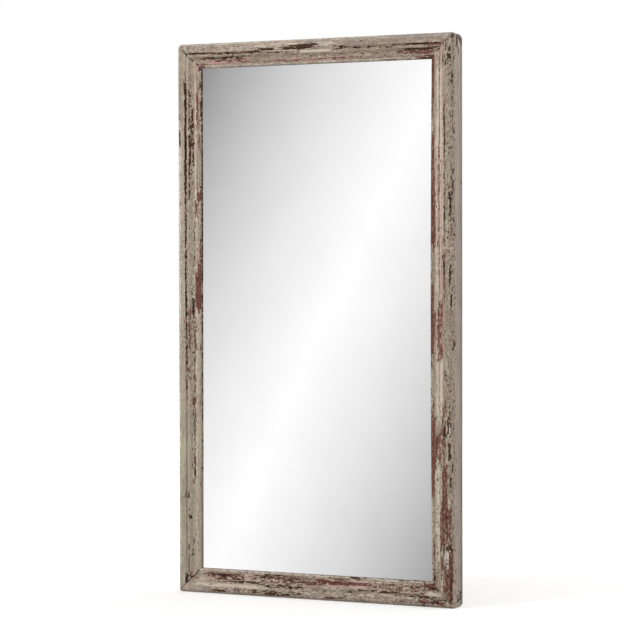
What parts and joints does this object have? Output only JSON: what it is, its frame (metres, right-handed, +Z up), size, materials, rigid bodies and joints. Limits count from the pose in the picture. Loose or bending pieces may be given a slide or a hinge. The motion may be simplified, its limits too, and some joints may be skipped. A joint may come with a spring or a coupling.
{
  "type": "wall mirror",
  "caption": "Tall rectangular wall mirror in a mitred, moulded wooden frame with worn paint, a boarded back, turn buttons and swinging hanging rings.",
  "frame": {"origin": "centre of the wall plane, on which the four bumpers bear, at mid height and mid width of the frame", "axes": "+X to the right of someone looking into the glass, +Y into the wall, so the glass faces -Y, +Z up"},
  "size_m": [0.67, 0.0535, 1.22],
  "materials": {
    "painted_wood": "worn grey-beige paint over red-brown and pink undercoats",
    "mirror_glass": "silvered glass",
    "back_board_wood": "aged bare pine",
    "packing_wood": "bare pine",
    "aged_brass": "dull brass",
    "hanger_steel": "dull zinc plate",
    "bumper_rubber": "matt"
  },
  "bodies": {
    "frame": {"back_board_centre": "back_board_wood", "back_board_left": "back_board_wood", "back_board_right": "back_board_wood", "bottom_rail": "painted_wood", "button_screws": "aged_brass", "glass_block_left": "packing_wood", "glass_block_right": "packing_wood", "hanger_screws": "hanger_steel", "hanger_strap_left": "hanger_steel", "hanger_strap_right": "hanger_steel", "left_stile": "painted_wood", "mirror_plate": "mirror_glass", "mitre_spline_bottom_left": "packing_wood", "mitre_spline_bottom_right": "packing_wood", "mitre_spline_top_left": "packing_wood", "mitre_spline_top_right": "packing_wood", "packing_strip_bottom": "packing_wood", "packing_strip_left": "packing_wood", "packing_strip_right": "packing_wood", "packing_strip_top": "packing_wood", "right_stile": "painted_wood", "top_rail": "painted_wood", "wall_bumper_bottom_left": "bumper_rubber", "wall_bumper_bottom_right": "bumper_rubber", "wall_bumper_top_left": "bumper_rubber", "wall_bumper_top_right": "bumper_rubber"},
    "turn_button_top_left": {"turn_button_top_left": "aged_brass"},
    "turn_button_top_centre": {"turn_button_top_centre": "aged_brass"},
    "turn_button_top_right": {"turn_button_top_right": "aged_brass"},
    "turn_button_bottom_left": {"turn_button_bottom_left": "aged_brass"},
    "turn_button_bottom_centre": {"turn_button_bottom_centre": "aged_brass"},
    "turn_button_bottom_right": {"turn_button_bottom_right": "aged_brass"},
    "turn_button_left_upper": {"turn_button_left_upper": "aged_brass"},
    "turn_button_left_lower": {"turn_button_left_lower": "aged_brass"},
    "turn_button_right_upper": {"turn_button_right_upper": "aged_brass"},
    "turn_button_right_lower": {"turn_button_right_lower": "aged_brass"},
    "hanger_ring_left": {"hanger_ring_left": "hanger_steel"},
    "hanger_ring_right": {"hanger_ring_right": "hanger_steel"}
  },
  "joints": [
    {"name": "turn_button_top_left_pivot", "type": "hinge", "parent": "frame", "child": "turn_button_top_left", "pos_m": [-0.201, -0.0055, 0.58], "axis": [0, 1, 0], "continuous": true},
    {"name": "turn_button_top_centre_pivot", "type": "hinge", "parent": "frame", "child": "turn_button_top_centre", "pos_m": [0, -0.0055, 0.58], "axis": [0, 1, 0], "continuous": true},
    {"name": "turn_button_top_right_pivot", "type": "hinge", "parent": "frame", "child": "turn_button_top_right", "pos_m": [0.201, -0.0055, 0.58], "axis": [0, 1, 0], "continuous": true},
    {"name": "turn_button_bottom_left_pivot", "type": "hinge", "parent": "frame", "child": "turn_button_bottom_left", "pos_m": [-0.201, -0.0055, -0.58], "axis": [0, 1, 0], "continuous": true},
    {"name": "turn_button_bottom_centre_pivot", "type": "hinge", "parent": "frame", "child": "turn_button_bottom_centre", "pos_m": [0, -0.0055, -0.58], "axis": [0, 1, 0], "continuous": true},
    {"name": "turn_button_bottom_right_pivot", "type": "hinge", "parent": "frame", "child": "turn_button_bottom_right", "pos_m": [0.201, -0.0055, -0.58], "axis": [0, 1, 0], "continuous": true},
    {"name": "turn_button_left_upper_pivot", "type": "hinge", "parent": "frame", "child": "turn_button_left_upper", "pos_m": [-0.305, -0.0055, 0.2013], "axis": [0, 1, 0], "continuous": true},
    {"name": "turn_button_left_lower_pivot", "type": "hinge", "parent": "frame", "child": "turn_button_left_lower", "pos_m": [-0.305, -0.0055, -0.2013], "axis": [0, 1, 0], "continuous": true},
    {"name": "turn_button_right_upper_pivot", "type": "hinge", "parent": "frame", "child": "turn_button_right_upper", "pos_m": [0.305, -0.0055, 0.2013], "axis": [0, 1, 0], "continuous": true},
    {"name": "turn_button_right_lower_pivot", "type": "hinge", "parent": "frame", "child": "turn_button_right_lower", "pos_m": [0.305, -0.0055, -0.2013], "axis": [0, 1, 0], "continuous": true},
    {"name": "hanger_ring_left_swing", "type": "hinge", "parent": "frame", "child": "hanger_ring_left", "pos_m": [-0.3125, -0.0035, 0.35], "axis": [1, 0, 0], "range_deg": [0, 180]},
    {"name": "hanger_ring_right_swing", "type": "hinge", "parent": "frame", "child": "hanger_ring_right", "pos_m": [0.3125, -0.0035, 0.35], "axis": [1, 0, 0], "range_deg": [0, 180]}
  ]
}
